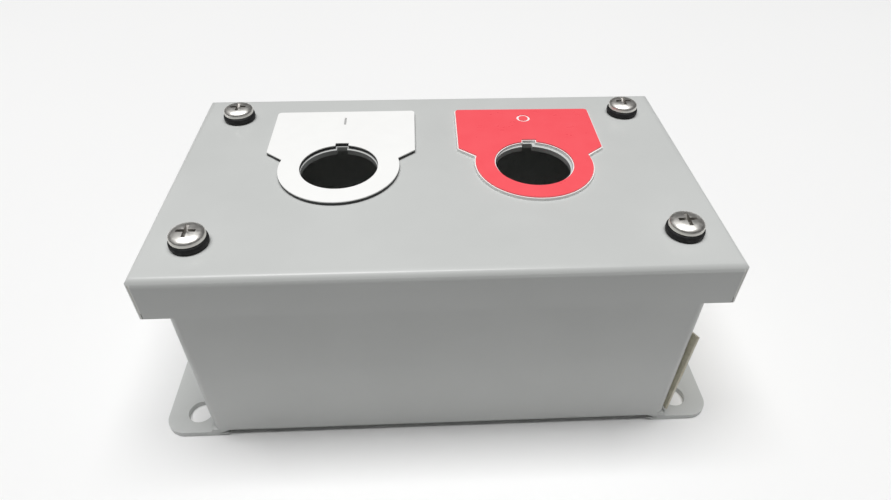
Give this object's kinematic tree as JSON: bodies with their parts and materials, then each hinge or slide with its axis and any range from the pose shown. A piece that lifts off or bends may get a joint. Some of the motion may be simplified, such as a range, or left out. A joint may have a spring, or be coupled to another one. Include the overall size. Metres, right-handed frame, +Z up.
{
  "type": "push button station enclosure",
  "caption": "Surface-mounted steel enclosure for a start and stop push button pair, with a lift-off gasketed cover, keyed operator holes, legend plates and mounting feet.",
  "frame": {"origin": "on the surface the feet stand on, under the middle of the cover", "axes": "+Z up out of the cover, +X along the box from the start hole to the stop hole, +Y towards the legends' upper edge"},
  "size_m": [0.175, 0.0904, 0.0765],
  "materials": {
    "grey_paint": "smooth light grey baked enamel, satin, lightly scuffed",
    "screw_plating": "bright nickel plate, softly worn, cross recess",
    "washer_rubber": "black moulded rubber, low sheen",
    "retainer_nylon": "natural nylon",
    "gasket_foam": "dark closed-cell foam",
    "legend_white": "satin white laminate",
    "legend_black": "black laminate core, cut edge",
    "legend_red": "satin red laminate",
    "ground_green": "green dyed plating",
    "label_paper": "aged cream paper, blank"
  },
  "bodies": {
    "box": {"body_channel": "grey_paint", "end_plate_left": "grey_paint", "end_plate_right": "grey_paint", "ground_screw": "ground_green", "side_label": "label_paper", "corner_bracket_front_left": "grey_paint", "corner_bracket_front_right": "grey_paint", "corner_bracket_back_left": "grey_paint", "corner_bracket_back_right": "grey_paint"},
    "cover": {"cover": "grey_paint", "cover_gasket": "gasket_foam", "start_legend_cap": "legend_white", "start_legend_core": "legend_black", "stop_legend_cap": "legend_red", "stop_legend_core": "legend_white", "sealing_washer_front_left": "washer_rubber", "sealing_washer_front_right": "washer_rubber", "sealing_washer_back_left": "washer_rubber", "sealing_washer_back_right": "washer_rubber"},
    "screw_front_left": {"cover_screw_front_left": "screw_plating", "retaining_washer_front_left": "retainer_nylon"},
    "screw_front_right": {"cover_screw_front_right": "screw_plating", "retaining_washer_front_right": "retainer_nylon"},
    "screw_back_left": {"cover_screw_back_left": "screw_plating", "retaining_washer_back_left": "retainer_nylon"},
    "screw_back_right": {"cover_screw_back_right": "screw_plating", "retaining_washer_back_right": "retainer_nylon"}
  },
  "joints": [
    {"name": "cover_lift", "type": "slide", "parent": "box", "child": "cover", "axis": [0, 0, 1], "range_m": [0, 0.08]},
    {"name": "screw_turn_front_left", "type": "hinge", "parent": "cover", "child": "screw_front_left", "pos_m": [-0.0635, -0.03175, 0.0742], "axis": [0, 0, 1], "continuous": true},
    {"name": "screw_turn_front_right", "type": "hinge", "parent": "cover", "child": "screw_front_right", "pos_m": [0.0635, -0.03175, 0.0742], "axis": [0, 0, 1], "continuous": true},
    {"name": "screw_turn_back_left", "type": "hinge", "parent": "cover", "child": "screw_back_left", "pos_m": [-0.0635, 0.03175, 0.0742], "axis": [0, 0, 1], "continuous": true},
    {"name": "screw_turn_back_right", "type": "hinge", "parent": "cover", "child": "screw_back_right", "pos_m": [0.0635, 0.03175, 0.0742], "axis": [0, 0, 1], "continuous": true}
  ]
}
